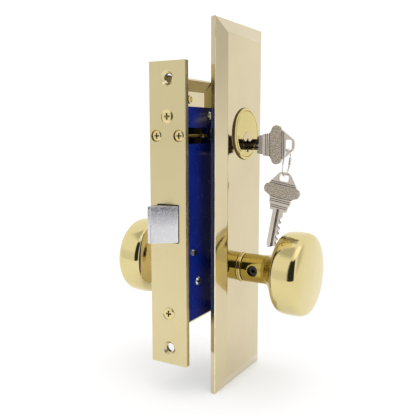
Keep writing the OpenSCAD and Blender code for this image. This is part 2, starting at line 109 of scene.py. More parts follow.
class Graph:
    """A material's node tree with short ways to add to it."""

    def __init__(self, name):
        self.material = bpy.data.materials.new(name)
        self.material.use_nodes = True
        self.tree = self.material.node_tree
        self.shader = self.tree.nodes["Principled BSDF"]
        self.place = self.add("ShaderNodeTexCoord").outputs["Object"]

    def add(self, kind, **fields):
        node = self.tree.nodes.new(kind)
        for key, value in fields.items():
            setattr(node, key, value)
        return node

    def join(self, out, into):
        self.tree.links.new(out, into)

    def noise(self, scale, stretch=(1, 1, 1), detail=3.0, rough=0.5, turn=(0, 0, 0)):
        mapping = self.add("ShaderNodeMapping")
        mapping.inputs["Scale"].default_value = stretch
        mapping.inputs["Rotation"].default_value = turn
        self.join(self.place, mapping.inputs["Vector"])
        noise = self.add("ShaderNodeTexNoise")
        noise.inputs["Scale"].default_value = scale
        noise.inputs["Detail"].default_value = detail
        noise.inputs["Roughness"].default_value = rough
        self.join(mapping.outputs["Vector"], noise.inputs["Vector"])
        return noise.outputs["Fac"]

    def cells(self, scale, feature="F1"):
        cells = self.add("ShaderNodeTexVoronoi", feature=feature)
        cells.inputs["Scale"].default_value = scale
        self.join(self.place, cells.inputs["Vector"])
        return cells.outputs["Distance"]

    def span(self, value, low, high, out_low, out_high):
        node = self.add("ShaderNodeMapRange")
        for key, number in zip(("From Min", "From Max", "To Min", "To Max"), (low, high, out_low, out_high)):
            node.inputs[key].default_value = number
        self.join(value, node.inputs["Value"])
        return node.outputs["Result"]

    def sum(self, a, b, kind="ADD"):
        node = self.add("ShaderNodeMath", operation=kind)
        self.join(a, node.inputs[0])
        if isinstance(b, (int, float)):
            node.inputs[1].default_value = b
        else:
            self.join(b, node.inputs[1])
        return node.outputs[0]

    def mix(self, factor, a, b):
        node = self.add("ShaderNodeMix", data_type="RGBA")
        self.join(factor, node.inputs[0])
        for value, socket in ((a, node.inputs[6]), (b, node.inputs[7])):
            if isinstance(value, tuple):
                socket.default_value = (*value, 1)
            else:
                self.join(value, socket)
        return node.outputs[2]

    def attribute(self, name):
        return self.add("ShaderNodeAttribute", attribute_name=name).outputs["Fac"]

    def bump(self, height, distance, strength=1.0, under=None):
        node = self.add("ShaderNodeBump")
        node.inputs["Strength"].default_value = strength
        node.inputs["Distance"].default_value = distance
        self.join(height, node.inputs["Height"])
        if under is not None:
            self.join(under, node.inputs["Normal"])
        return node.outputs["Normal"]


def metal(name, base, worn, tint, rough, wave=0.00002, grain=(1, 1, 1), grain_depth=0.000002, speckle=0.25):
    """Metal with slow colour drift, fine grain, handling marks and brighter worn rims."""
    g = Graph(name)
    drift = g.span(g.noise(26, detail=2), 0.3, 0.7, 0, 1)
    spots = g.span(g.noise(420, detail=5, rough=0.62), 0.56, 0.78, 0, 1)
    marks = g.noise(900, stretch=grain, detail=4, rough=0.6)
    colour = g.mix(drift, base, tint)
    colour = g.mix(g.sum(spots, speckle, "MULTIPLY"), colour, tuple(0.8 * c for c in base))
    wear = g.sum(g.attribute("rim"), g.span(g.noise(160, detail=3), 0.35, 0.6, 0.35, 1), "MULTIPLY")
    colour = g.mix(wear, colour, worn)
    g.join(colour, g.shader.inputs["Base Color"])
    spread = g.span(marks, 0.25, 0.75, rough[0], rough[1])
    smudge = g.span(g.noise(60, detail=4, rough=0.6), 0.45, 0.75, 0, (rough[1] - rough[0]) * 0.8)
    g.join(g.sum(spread, smudge), g.shader.inputs["Roughness"])
    g.shader.inputs["Metallic"].default_value = 1
    waves = g.bump(g.noise(24, detail=1), wave)
    g.join(g.bump(marks, grain_depth, under=waves), g.shader.inputs["Normal"])
    return g.material


def blue_paint():
    g = Graph("blue_enamel")
    drift = g.span(g.noise(35, detail=3), 0.3, 0.7, 0, 1)
    colour = g.mix(drift, (0.003, 0.015, 0.185), (0.005, 0.021, 0.250))
    dust = g.span(g.noise(1500, detail=3, rough=0.7), 0.72, 0.84, 0, 0.25)
    colour = g.mix(dust, colour, (0.09, 0.11, 0.22))
    chip = g.sum(g.attribute("rim"), g.span(g.noise(220, detail=4), 0.56, 0.66, 0, 0.75), "MULTIPLY")
    colour = g.mix(chip, colour, (0.10, 0.13, 0.30))
    g.join(colour, g.shader.inputs["Base Color"])
    g.join(g.span(g.noise(140, detail=4), 0.3, 0.7, 0.16, 0.30), g.shader.inputs["Roughness"])
    g.shader.inputs["Specular IOR Level"].default_value = 0.3
    g.shader.inputs["Coat Weight"].default_value = 0.15
    g.shader.inputs["Coat Roughness"].default_value = 0.06
    peel = g.bump(g.noise(420, detail=2), 0.000012)
    g.join(peel, g.shader.inputs["Normal"])
    return g.material


def cast_zinc():
    """Zinc casting, polished white low on the latch and rough and dark towards its top; the darkness is partly a
    real rough skin and partly painted shade.
    """
    g = Graph("cast_zinc")
    cast_and_shade = g.attribute("cast_and_shade")
    drift = g.span(g.noise(70, detail=3), 0.3, 0.7, 0, 1)
    smooth = g.mix(drift, (0.80, 0.80, 0.82), (0.72, 0.72, 0.75))
    pits = g.span(g.noise(1300, detail=5, rough=0.75), 0.44, 0.60, 0, 1)
    combed = g.span(g.noise(700, stretch=(1.6, 1.6, 0.5), detail=3, turn=(0, 0.6, 0)), 0.42, 0.6, 0, 1)
    rough_skin_and_shade = g.mix(pits, (0.66, 0.66, 0.70), (0.10, 0.10, 0.13))
    rough_skin_and_shade = g.mix(g.sum(combed, 0.55, "MULTIPLY"), rough_skin_and_shade, (0.24, 0.24, 0.29))
    colour = g.mix(cast_and_shade, smooth, rough_skin_and_shade)
    wear = g.sum(g.attribute("rim"), g.span(g.noise(200), 0.35, 0.6, 0.3, 0.9), "MULTIPLY")
    colour = g.mix(wear, colour, (0.88, 0.88, 0.90))
    g.join(colour, g.shader.inputs["Base Color"])
    g.join(g.span(g.noise(500, detail=5), 0.3, 0.7, 0.24, 0.40), g.shader.inputs["Roughness"])
    g.shader.inputs["Metallic"].default_value = 1
    fine = g.bump(g.noise(1100, detail=5, rough=0.7), 0.00002)
    g.join(g.bump(g.sum(pits, cast_and_shade, "MULTIPLY"), 0.00020, under=fine), g.shader.inputs["Normal"])
    return g.material


def key_nickel():
    g = Graph("key_nickel")
    drift = g.span(g.noise(60, detail=3), 0.3, 0.7, 0, 1)
    colour = g.mix(drift, (0.62, 0.55, 0.47), (0.54, 0.48, 0.41))
    speck = g.span(g.cells(1150), 0.15, 0.55, 0, 1)
    panel = g.attribute("panel")
    marks = g.sum(g.span(speck, 0.35, 0.75, 0, 1), panel, "MULTIPLY")
    colour = g.mix(g.sum(marks, 0.34, "MULTIPLY"), colour, (0.20, 0.18, 0.15))
    wear = g.sum(g.attribute("rim"), g.span(g.noise(260), 0.35, 0.6, 0.3, 0.9), "MULTIPLY")
    colour = g.mix(wear, colour, (0.80, 0.76, 0.70))
    # Painted shade: the blade's cut edges and groove floors are painted nearly black, a little unevenly
    groove_shade_amount = g.span(g.noise(300, stretch=(0.4, 1, 1), detail=3), 0.3, 0.7, 0.72, 0.95)
    colour = g.mix(g.sum(g.attribute("milled_shade"), groove_shade_amount, "MULTIPLY"), colour, (0.045, 0.036, 0.034))
    g.join(colour, g.shader.inputs["Base Color"])
    polish = g.span(g.noise(800, stretch=(1, 1, 0.15), detail=4), 0.3, 0.7, 0.10, 0.19)
    g.join(polish, g.shader.inputs["Roughness"])
    g.shader.inputs["Metallic"].default_value = 1
    scratch = g.bump(g.noise(700, stretch=(0.1, 1, 1), detail=4, rough=0.7), 0.000015)
    g.join(g.bump(g.sum(speck, panel, "MULTIPLY"), 0.00016, under=scratch), g.shader.inputs["Normal"])
    return g.material


def make_materials():
    made = {
        "satin_brass": metal("satin_brass", (0.66, 0.57, 0.32), (0.84, 0.76, 0.50), (0.70, 0.60, 0.35),
                             (0.22, 0.27), 0.00001, (1, 1, 0.04), 0.0000003, 0.06),
        "polished_brass": metal("polished_brass", (0.72, 0.62, 0.31), (0.90, 0.83, 0.55), (0.68, 0.57, 0.27),
                                (0.04, 0.09)),
        "plate_brass": metal("plate_brass", (0.66, 0.57, 0.37), (0.86, 0.79, 0.58), (0.62, 0.53, 0.35),
                             (0.05, 0.11), 0.00003, (1, 1, 0.06), 0.000003),
        # Dark rough brass: the outer plate's unpolished inside, made darker as painted shade in its hollow, and a
        # painted shadow line round the foot of the cylinder collar
        "raw_brass_and_shade": metal("raw_brass_and_shade", (0.22, 0.17, 0.09), (0.40, 0.33, 0.18), (0.16, 0.12, 0.07),
                           (0.45, 0.65), 0.00002, (1, 1, 1), 0.00002),
        "cylinder_brass": metal("cylinder_brass", (0.66, 0.56, 0.24), (0.80, 0.70, 0.36), (0.62, 0.51, 0.20),
                                (0.07, 0.14)),
        "plug_brass": metal("plug_brass", (0.68, 0.54, 0.34), (0.84, 0.74, 0.52), (0.60, 0.47, 0.28),
                            (0.08, 0.15)),
        # A darker, more saturated copy of the knob brass: painted shade and inter-reflection on the knob shanks
        "shank_brass_shaded": metal("shank_brass_shaded", (0.48, 0.37, 0.09), (0.80, 0.70, 0.36), (0.43, 0.32, 0.07),
                             (0.05, 0.10)),
        # Darker brass: painted shade in the screws' cross recesses, and on the inner plate's unpolished inside
        # walls, made darker as painted shade in its hollow
        "dull_brass_and_shade": metal("dull_brass_and_shade", (0.30, 0.22, 0.07), (0.62, 0.50, 0.20), (0.20, 0.14, 0.04),
                            (0.14, 0.26), 0.00003, (1, 1, 1), 0.00001),
        "black_steel": metal("black_steel", (0.05, 0.05, 0.05), (0.16, 0.16, 0.16), (0.03, 0.03, 0.035),
                             (0.25, 0.4)),
        "screw_brass": metal("screw_brass", (0.78, 0.66, 0.34), (0.95, 0.88, 0.60), (0.72, 0.60, 0.30),
                             (0.12, 0.20)),
        "steel": metal("steel", (0.50, 0.50, 0.52), (0.72, 0.72, 0.74), (0.42, 0.42, 0.44), (0.28, 0.42),
                       0.00001, (1, 0.1, 1), 0.000006),
        "bright_steel": metal("bright_steel", (0.72, 0.72, 0.74), (0.85, 0.85, 0.87), (0.62, 0.62, 0.65),
                              (0.12, 0.22)),
        "blue_paint": blue_paint(),
        "cast_zinc": cast_zinc(),
        "nickel": key_nickel(),
    }
    return made


# ---------------------------------------------------------------- mesh making


def tidy_normals(mesh, narrow):
    """Flat and turned faces keep their own direction, and narrow faces between them blend.
    Narrow faces are marked as rims."""
    bm = bmesh.new()
    bm.from_mesh(mesh)
    bm.faces.ensure_lookup_table()
    group = [-1] * len(bm.faces)
    sizes = []
    for face in bm.faces:
        if group[face.index] >= 0:
            continue
        number, stack, area, edge_sum = len(sizes), [face], 0.0, 0.0
        group[face.index] = number
        while stack:
            f = stack.pop()
            area += f.calc_area()
            for e in f.edges:
                others = [o for o in e.link_faces if o is not f]
                if len(others) == 1 and f.normal.dot(others[0].normal) > 0.99999:
                    if group[others[0].index] < 0:
                        group[others[0].index] = number
                        stack.append(others[0])
                else:
                    edge_sum += e.calc_length()
        sizes.append(2 * area / max(edge_sum, 1e-9))
    major = [sizes[group[f.index]] >= narrow * MM for f in bm.faces]
    normals = []
    for f in bm.faces:
        for loop in f.loops:
            near = list(loop.vert.link_faces)
            wide = [o for o in near if major[o.index] and o.normal.dot(f.normal) > 0.5]
            if major[f.index]:
                use = [o for o in wide if o.normal.dot(f.normal) > 0.92]
            elif wide:
                best = max(wide, key=lambda o: o.normal.dot(f.normal))
                use = [o for o in wide if o.normal.dot(best.normal) > 0.92]
            else:
                use = [o for o in near if o.normal.dot(f.normal) > 0.6]
            total = Vector()
            seen = set()
            for o in use or [f]:
                if major[o.index]:
                    if group[o.index] in seen:
                        continue
                    seen.add(group[o.index])
                    total += o.normal
                else:
                    total += o.normal * o.calc_area()
            normals.append(total.normalized() if total.length > 1e-12 else f.normal.copy())
    rims = [0.0 if m else 1.0 for m in major]
    bm.free()
    mesh.polygons.foreach_set("use_smooth", [True] * len(mesh.polygons))
    mesh.normals_split_custom_set(normals)
    mesh.attributes.new("rim", "FLOAT", "FACE").data.foreach_set("value", rims)


def piece(name, bm, body, material, replaces=(), narrow=0.35, smooth=None):
    """Makes an object from a bmesh in millimetres. narrow or smooth says how it is shaded.
    A piece given no body, such as the spring between the latch and the case, is attached to none."""
    bmesh.ops.remove_doubles(bm, verts=bm.verts, dist=1e-4)
    bmesh.ops.recalc_face_normals(bm, faces=bm.faces)
    mesh = bpy.data.meshes.new(name)
    bm.to_mesh(mesh)
    bm.free()
    mesh.transform(Matrix.Scale(MM, 4))
    shade(mesh, narrow, smooth)
    ob = bpy.data.objects.new(name, mesh)
    scene.collection.objects.link(ob)
    mesh.materials.append(materials[material])
    if body:
        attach(ob, body)
    if replaces:
        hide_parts(*replaces)
    return ob


def shade(mesh, narrow, smooth):
    if smooth is None:
        tidy_normals(mesh, narrow)
    else:
        mesh.polygons.foreach_set("use_smooth", [True] * len(mesh.polygons))
        mesh.set_sharp_from_angle(angle=math.radians(smooth))


def cut(bm, cutters, operation="DIFFERENCE"):
    """A bmesh with other bmeshes cut from it, all in millimetres."""
    result = bm
    for cutter in cutters:
        pair = []
        for part in (result, cutter):
            bmesh.ops.recalc_face_normals(part, faces=part.faces)
            mesh = bpy.data.meshes.new("tmp")
            part.to_mesh(mesh)
            part.free()
            ob = bpy.data.objects.new("tmp", mesh)
            scene.collection.objects.link(ob)
            pair.append(ob)
        mod = pair[0].modifiers.new("cut", "BOOLEAN")
        mod.operation, mod.solver, mod.object = operation, "EXACT", pair[1]
        bpy.context.view_layer.update()
        done = pair[0].evaluated_get(bpy.context.evaluated_depsgraph_get())
        result = bmesh.new()
        result.from_mesh(done.to_mesh())
        done.to_mesh_clear()
        for ob in pair:
            mesh = ob.data
            bpy.data.objects.remove(ob)
            bpy.data.meshes.remove(mesh)
    return result


def rounded(points, radius=0.0, steps=4):
    """A closed outline with its corners rounded. A third number on a point is its own radius."""
    out = []
    count = len(points)
    for i, point in enumerate(points):
        p = Vector(point[:2])
        r = point[2] if len(point) > 2 else radius
        a, b = Vector(points[i - 1][:2]) - p, Vector(points[(i + 1) % count][:2]) - p
        if r <= 0 or a.length < 1e-9 or b.length < 1e-9:
            out.append(p)
            continue
        half = a.angle(b) / 2
        if half > math.radians(88):
            out.append(p)
            continue
        reach = min(r / math.tan(half), 0.48 * a.length, 0.48 * b.length)
        start, end = p + a.normalized() * reach, p + b.normalized() * reach
        for k in range(steps + 1):
            s = k / steps
            out.append(start * (1 - s) ** 2 + p * (2 * s * (1 - s)) + end * s * s)
    return out


def supported(points, near=0.3):
    """Adds points close to both ends of each long side, so that shading bends only at the corners."""
    out = []
    for i, p in enumerate(points):
        q = points[(i + 1) % len(points)]
        out.append(p)
        side = q - p
        if side.length > 4 * near:
            out.append(p + side.normalized() * near)
            out.append(q - side.normalized() * near)
    return out


def curve_through(points, steps=6):
    """A smooth open curve through points."""
    out = []
    pts = [Vector(p) for p in points]
    for i in range(len(pts) - 1):
        p0, p1, p2, p3 = pts[max(i - 1, 0)], pts[i], pts[i + 1], pts[min(i + 2, len(pts) - 1)]
        for k in range(steps):
            t = k / steps
            out.append(0.5 * (2 * p1 + (p2 - p0) * t + (2 * p0 - 5 * p1 + 4 * p2 - p3) * t * t
                              + (3 * p1 - p0 - 3 * p2 + p3) * t ** 3))
    out.append(pts[-1])
    return out


def turned(profile, centre, axis="x", steps=96):
    """A turned solid. profile is a closed outline of (radius, place along the axis)."""
    bm = bmesh.new()
    rings = []
    for r, w in profile:
        ring = []
        for k in range(steps if r > 1e-6 else 1):
            a = 2 * math.pi * k / steps
            u, v = r * math.cos(a), r * math.sin(a)
            at = (w, centre[0] + u, centre[1] + v) if axis == "x" else (centre[0] + u, w, centre[1] + v)
            ring.append(bm.verts.new(at))
        rings.append(ring)
    for i, ring in enumerate(rings):
        other = rings[(i + 1) % len(rings)]
        for k in range(steps):
            corner = [ring[k % len(ring)], ring[(k + 1) % len(ring)],
                      other[(k + 1) % len(other)], other[k % len(other)]]
            corner = list(dict.fromkeys(corner))
            if len(corner) > 2:
                bm.faces.new(corner)
    return bm


def moved_out(points, distance):
    """An outline moved outwards (its own left-hand order is anticlockwise)."""
    out = []
    count = len(points)
    for i, p in enumerate(points):
        a = (p - points[i - 1]).normalized()
        b = (points[(i + 1) % count] - p).normalized()
        na, nb = Vector((a.y, -a.x)), Vector((b.y, -b.x))
        turn = na + nb
        if turn.length < 1e-6:
            out.append(p + na * distance)
            continue
        turn.normalize()
        out.append(p + turn * (distance / max(turn.dot(na), 0.35)))
    return out


def circle(centre, radius, steps=48):
    return [Vector((centre[0] + radius * math.cos(2 * math.pi * k / steps),
                    centre[1] + radius * math.sin(2 * math.pi * k / steps))) for k in range(steps)]


def box_outline(x0, y0, x1, y1, radius=0.0, steps=4):
    return rounded([(x0, y0), (x1, y0), (x1, y1), (x0, y1)], radius, steps)


def slab(loops, place):
    """A plate with holes. Each loop is (outline, levels, is_hole).
    levels is a list of (inset, depth) from front to back."""
    bm = bmesh.new()
    rings = []
    for outline, levels, is_hole in loops:
        sign = 1 if is_hole else -1
        rings.append([[bm.verts.new(place(p.x, p.y, depth)) for p in moved_out(outline, sign * inset)]
                      for inset, depth in levels])
        for upper, lower in zip(rings[-1], rings[-1][1:]):
            for k in range(len(upper)):
                n = (k + 1) % len(upper)
                bm.faces.new([upper[k], upper[n], lower[n], lower[k]])
    for end in (0, -1):
        flat = []
        for (outline, levels, is_hole), ring in zip(loops, rings):
            sign = 1 if is_hole else -1
            flat.append([(p.x, p.y, 0) for p in moved_out(outline, sign * levels[end][0])])
        verts = [v for ring in rings for v in ring[end]]
        for tri in tessellate_polygon([[Vector(p) for p in loop] for loop in flat]):
            try:
                bm.faces.new([verts[i] for i in tri])
            except ValueError:
                pass
    return bm


def rim(depth, radius=0.25, back=None):
    """Levels of a straight wall with rounded edges, from 0 to depth."""
    back = radius if back is None else back
    levels = [(radius, 0), (radius * 0.29, radius * 0.29), (0, radius)]
    if back:
        levels += [(0, depth - back), (back * 0.29, depth - back * 0.29), (back, depth)]
    else:
        levels.append((0, depth))
    return levels


def refined(node, width=0.2, segments=2, material=None, angle=28, narrow=0.35):
    """A CAD node's own shape with its flat faces joined and its edges rounded."""
    bm = bmesh.new()
    bm.from_mesh(nodes[node].data)
    bmesh.ops.scale(bm, vec=(1 / MM,) * 3, verts=bm.verts)
    bmesh.ops.remove_doubles(bm, verts=bm.verts, dist=1e-3)
    bmesh.ops.dissolve_limit(bm, angle_limit=math.radians(0.4), verts=bm.verts, edges=bm.edges)
    sharp = [e for e in bm.edges if len(e.link_faces) == 2 and e.calc_face_angle(0) > math.radians(angle)]
    bmesh.ops.bevel(bm, geom=sharp, offset=width, offset_type="OFFSET", segments=segments,
                    profile=0.5, affect="EDGES", clamp_overlap=True)
    bmesh.ops.dissolve_degenerate(bm, dist=1e-4, edges=bm.edges)
    return piece(node + "_shape", bm, body_of[node], material or slots[node], [node], narrow)


def repaint(ob, material, test):
    """Gives a second material to the faces whose centre (mm) and normal pass a test."""
    ob.data.materials.append(materials[material])
    for f in ob.data.polygons:
        if test(f.center / MM, f.normal):
            f.material_index = 1


def darken_recess(ob, centres, face_y, reach):
    """Paints shade into the walls of cross recesses, which get a darker material than the polished heads around
    them.
    """
    def inside(at, normal):
        near = min(math.hypot(at.x - c[0], at.z - c[1]) for c in centres)
        return near < reach and at.y < face_y + 2.2 and (normal.y > -0.93 or at.y > face_y + 0.75)
    repaint(ob, "dull_brass_and_shade", inside)


def block(low, high, width=0.0, segments=2):
    bm = bmesh.new()
    bmesh.ops.create_cube(bm, size=1)
    for v in bm.verts:
        v.co = Vector([low[i] if v.co[i] < 0 else high[i] for i in range(3)])
    if width:
        bmesh.ops.bevel(bm, geom=bm.edges[:], offset=width, segments=segments, profile=0.5, affect="EDGES")
    return bm


def cross_cutters(centre, face_y, size, depth):
    """Two tapered bars that leave a cross recess in a head facing -Y."""
    out = []
    for turn in (0.0, math.pi / 2):
        bm = bmesh.new()
        rows = []
        levels = ((face_y - 1, 0.62, 0.16), (face_y + depth * 0.35, 0.42, 0.12), (face_y + depth, 0.14, 0.08))
        for y, long, wide in levels:
            row = []
            for sx, sz in ((-1, -1), (1, -1), (1, 1), (-1, 1)):
                x, z = sx * size * long, sz * size * wide
                row.append(bm.verts.new((centre[0] + x * math.cos(turn) - z * math.sin(turn), y,
                                         centre[1] + x * math.sin(turn) + z * math.cos(turn))))
            rows.append(row)
        for a, b in zip(rows, rows[1:]):
            for k in range(4):
                bm.faces.new([a[k], a[(k + 1) % 4], b[(k + 1) % 4], b[k]])
        bm.faces.new(rows[0])
        bm.faces.new(rows[-1])
        out.append(bm)
    return out


def join(parts):
    whole = parts[0]
    for part in parts[1:]:
        mesh = bpy.data.meshes.new("tmp")
        part.to_mesh(mesh)
        part.free()
        whole.from_mesh(mesh)
        bpy.data.meshes.remove(mesh)
    return whole


# ---------------------------------------------------------------- front


def door_holes():
    m = mounts["door_screws"]
    half = m["dims"]["spacing_y_mm"] / 2
    return [(0, half), (0, -half)], m["dims"]["hole_r_mm"]


def pair_of(node):
    """Middle of each of two screws of a node that stand one above the other or side by side."""
    low, high = corners(node)
    across = high.x - low.x
    up = high.z - low.z
    if up > across:
        r = across / 2
        return [((low.x + high.x) / 2, high.z - r), ((low.x + high.x) / 2, low.z + r)], r
    r = up / 2
    return [(high.x - r, (low.z + high.z) / 2), (low.x + r, (low.z + high.z) / 2)], r


def front_plates():
    low, high = corners("armour_front")
    back_low, back_high = corners("case_front")
    thick, inner = high.y - low.y, back_high.y - back_low.y
    latch_low, latch_high = corners("latch_bolt")
    mouth = box_outline(latch_low.x - 0.55, latch_low.z - 0.6, latch_high.x + 0.55, latch_high.z + 0.6, 0.9)
    doors, door_r = door_holes()
    small = pair_of("armour_screws")[0]
    sets = pair_of("cylinder_set_screws")[0]
    outline = box_outline(low.x, low.z, high.x, high.z, 0.5)

    loops = [(outline, rim(thick, 0.22, 0.04), False), (mouth, rim(thick, 0.18, 0.1), True)]
    for c in doors:
        countersink = [(1.95, 0), (1.78, 0.06), (0.02, thick - 0.05), (0, thick)]
        loops.append((circle(c, door_r, 56), countersink, True))
    for c in small:
        countersink = [(2.68, 0), (2.58, 0.06), (0.02, thick - 0.05), (0, thick)]
        loops.append((circle(c, 2.1), countersink, True))
    for c in sets:
        loops.append((circle(c, 4.05), rim(thick, 0.15, 0.05), True))
    bm = slab(loops, lambda u, v, w: (u, low.y + w, v))
    piece("armour_front_shape", bm, "lock_case", "satin_brass", ["armour_front"])

    loops = [(outline, rim(inner, 0.04, 0.22), False), (mouth, rim(inner, 0.1, 0.1), True)]
    for c in doors:
        loops.append((circle(c, door_r, 56), rim(inner, 0.05, 0.1), True))
    for c in small:
        loops.append((circle(c, 1.95, 32), rim(inner, 0.05, 0.1), True))
    for c in sets:
        loops.append((circle(c, 1.75, 32), rim(inner, 0.05, 0.1), True))
    bm = slab(loops, lambda u, v, w: (u, back_low.y + w, v))
    piece("case_front_shape", bm, "lock_case", "satin_brass", ["case_front"])


def front_screws():
    parts = []
    dome_y = -0.42
    high = corners("armour_screws")[1]
    for c in pair_of("armour_screws")[0]:
        profile = rounded([(0, dome_y), (1.6, -0.36), (3.2, -0.16, 0.6), (4.5, 0.16, 0.12), (1.92, 1.7, 0.1),
                           (1.92, high.y - 0.7, 0.2), (1.2, high.y, 0.1), (0, high.y)], 0, 4)
        screw = turned(supported(profile, 0.12), c, "y", 56)
        parts.append(cut(screw, cross_cutters(c, dome_y, 4.6, 1.5)))
    ob = piece("armour_screws_shape", join(parts), "lock_case", "screw_brass", ["armour_screws"],
               smooth=32)
    darken_recess(ob, pair_of("armour_screws")[0], dome_y, 2.6)

    parts = []
    neck_y = 28.6
    low, high = corners("cylinder_set_screws")
    for c in pair_of("cylinder_set_screws")[0]:
        profile = rounded([(0, low.y), (2.9, low.y + 0.02, 0.5), (3.72, low.y + 0.5, 0.3), (3.72, 1.7, 0.1),
                           (1.65, 1.7, 0.1), (1.65, neck_y, 0.05), (2.1, neck_y, 0.1),
                           (2.1, high.y - 0.7, 0.2), (1.3, high.y, 0.1), (0, high.y)], 0, 4)
        screw = turned(supported(profile, 0.12), c, "y", 56)
        parts.append(cut(screw, cross_cutters(c, low.y, 4.2, 1.1)))
    ob = piece("cylinder_set_screws_shape", join(parts), "lock_case", "screw_brass", ["cylinder_set_screws"],
               smooth=32)
    darken_recess(ob, pair_of("cylinder_set_screws")[0], low.y, 2.3)


def latch():
    low, high = corners("latch_bolt")
    half = high.x
    bm = bmesh.new()
    outline = [(-half, high.y), (half, high.y), (half, -0.4), (2.3 - half, low.y), (-half, low.y)]
    bottom = [bm.verts.new((x, y, low.z)) for x, y in outline]
    top = [bm.verts.new((x, y, high.z)) for x, y in outline]
    bm.faces.new(bottom)
    bm.faces.new(top)
    for k in range(len(outline)):
        n = (k + 1) % len(outline)
        bm.faces.new([bottom[k], bottom[n], top[n], top[k]])
    bmesh.ops.recalc_face_normals(bm, faces=bm.faces)
    bmesh.ops.bevel(bm, geom=bm.edges[:], offset=0.4, segments=3, profile=0.5, affect="EDGES")
    mid = (low.z + high.z) / 2
    bm = cut(bm, [block((-3, high.y - 6, mid - 3), (3, high.y + 2, mid + 3))])
    # Rows across the face let the casting's rough skin and painted shade fade from its top downwards
    for z in range(1, 12):
        level = low.z + (high.z - low.z) * z / 12
        bmesh.ops.bisect_plane(bm, geom=bm.verts[:] + bm.edges[:] + bm.faces[:], dist=1e-5,
                               plane_co=(0, 0, level), plane_no=(0, 0, 1))
    ob = piece("latch_bolt_shape", bm, "latch", "cast_zinc", ["latch_bolt"], narrow=0.5)
    # Mask of rough skin with painted shade: none low on the face, full at the top
    values = []
    for v in ob.data.vertices:
        s = (v.co.z / MM - low.z) / (high.z - low.z)
        values.append(max(0.04, min(1.0, (s - 0.42) / 0.5)) ** 1.3)
    ob.data.attributes.new("cast_and_shade", "FLOAT", "POINT").data.foreach_set("value", values)


def latch_spring():
    """A coil between the latch and the case. The real one shortens as the latch draws in; here it is built once,
    at rest, with no body of its own.
    """
    low, high = corners("latch_spring")
    wire, turns, steps, sides = 0.55, 8, 24, 10
    coil_r, mid = high.x - wire, (low.z + high.z) / 2
    count = turns * steps
    bm = bmesh.new()
    rows = []
    for i in range(count + 1):
        a = 2 * math.pi * i / steps
        along = low.y + wire + (high.y - low.y - 2 * wire) * i / count
        row = []
        for k in range(sides):
            b = 2 * math.pi * k / sides
            r = coil_r + wire * math.cos(b)
            row.append(bm.verts.new((r * math.cos(a), along + wire * math.sin(b), mid + r * math.sin(a))))
        rows.append(row)
    for a, b in zip(rows, rows[1:]):
        for k in range(sides):
            bm.faces.new([a[k], a[(k + 1) % sides], b[(k + 1) % sides], b[k]])
    bm.faces.new(rows[0])
    bm.faces.new(rows[-1])
    ob = piece("latch_spring_shape", bm, None, "bright_steel", ["latch_spring"],
               smooth=60)
    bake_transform(ob)


# ---------------------------------------------------------------- plates


def plate_levels(flange, rise, bevel, lean, soft=0.45):
    """(inset, height) levels of a bevelled pan, from its rim round its outside to the flat."""
    slope = Vector((bevel, rise)).normalized()
    return [(lean + 0.25, 0), (lean + 0.07, 0.07), (lean * 0.93, 0.25), (0, flange - soft),
            (slope.x * soft * 0.25, flange - soft * 0.22),
            (slope.x * soft, flange + slope.y * soft), (bevel - slope.x * 1.2, flange + rise - slope.y * 1.2),
            (bevel - 0.5, flange + rise - 0.26), (bevel, flange + rise - 0.1), (bevel + 1.2, flange + rise)]


def escutcheon(name, node, sign, flange, rise, bevel, thick, lean, holes, back_material, back_limit):
    """A bevelled, hollow plate. sign is +1 for a face towards +X.
    back_material goes on the hollow side, where the backward part of a normal is under back_limit."""
    low, high = corners(node)
    rim_x = low.x if sign > 0 else high.x
    bm = bmesh.new()

    def ring(inset, height, y0, y1, z0, z1):
        y0, y1, z0, z1 = y0 + inset, y1 - inset, z0 + inset, z1 - inset
        pts = [(y0, z0), (y1, z0), (y1, z1), (y0, z1)]
        return [bm.verts.new((rim_x + sign * height, y, z)) for y, z in pts]

    outer = [ring(i, h, low.y, high.y, low.z, high.z) for i, h in plate_levels(flange, rise, bevel, lean)]
    inside = [(thick + lean * 0.6, 0.0), (thick, flange - thick * 0.45),
              (bevel + 0.15, flange + rise - thick)]
    inner = [ring(i, h, low.y, high.y, low.z, high.z) for i, h in inside]
    rows = outer[::-1] + inner
    for a, b in zip(rows, rows[1:]):
        for k in range(4):
            n = (k + 1) % 4
            bm.faces.new([a[k], a[n], b[n], b[k]])
    top_x, low_x = rim_x + sign * (flange + rise), rim_x + sign * (flange + rise - thick)
    for ring_verts, x in ((outer[-1], top_x), (inner[-1], low_x)):
        loops = [[Vector((v.co.y, v.co.z, 0)) for v in ring_verts]]
        verts = list(ring_verts)
        for c, r in holes:
            grow = 0.12 if x == top_x else 0.0
            pts = circle(c, r + grow, 72)
            loops.append([Vector((p.x, p.y, 0)) for p in pts])
            verts += [bm.verts.new((x, p.x, p.y)) for p in pts]
        for tri in tessellate_polygon(loops):
            bm.faces.new([verts[i] for i in tri])
        holes_verts = verts[4:]
        if x == top_x:
            upper = holes_verts
        else:
            lower = holes_verts
    for h in range(len(holes)):
        a, b = upper[h * 72:(h + 1) * 72], lower[h * 72:(h + 1) * 72]
        for k in range(72):
            n = (k + 1) % 72
            bm.faces.new([a[k], a[n], b[n], b[k]])
    ob = piece(name, bm, "lock_case", "plate_brass", [node], narrow=0.7)
    # The hollow side's material is the plate's unpolished inside, darker than real brass so that it also paints
    # the shade of the hollow
    repaint(ob, back_material, lambda at, normal: -back_limit < normal.x * sign < -0.3 and
            (at.x - rim_x) * sign > 0.3)
    # The crease round the flat isn't worn
    wear = ob.data.attributes["rim"].data
    for f in ob.data.polygons:
        if (f.center.x / MM - rim_x) * sign > flange + 0.6:
            wear[f.index].value = 0.0


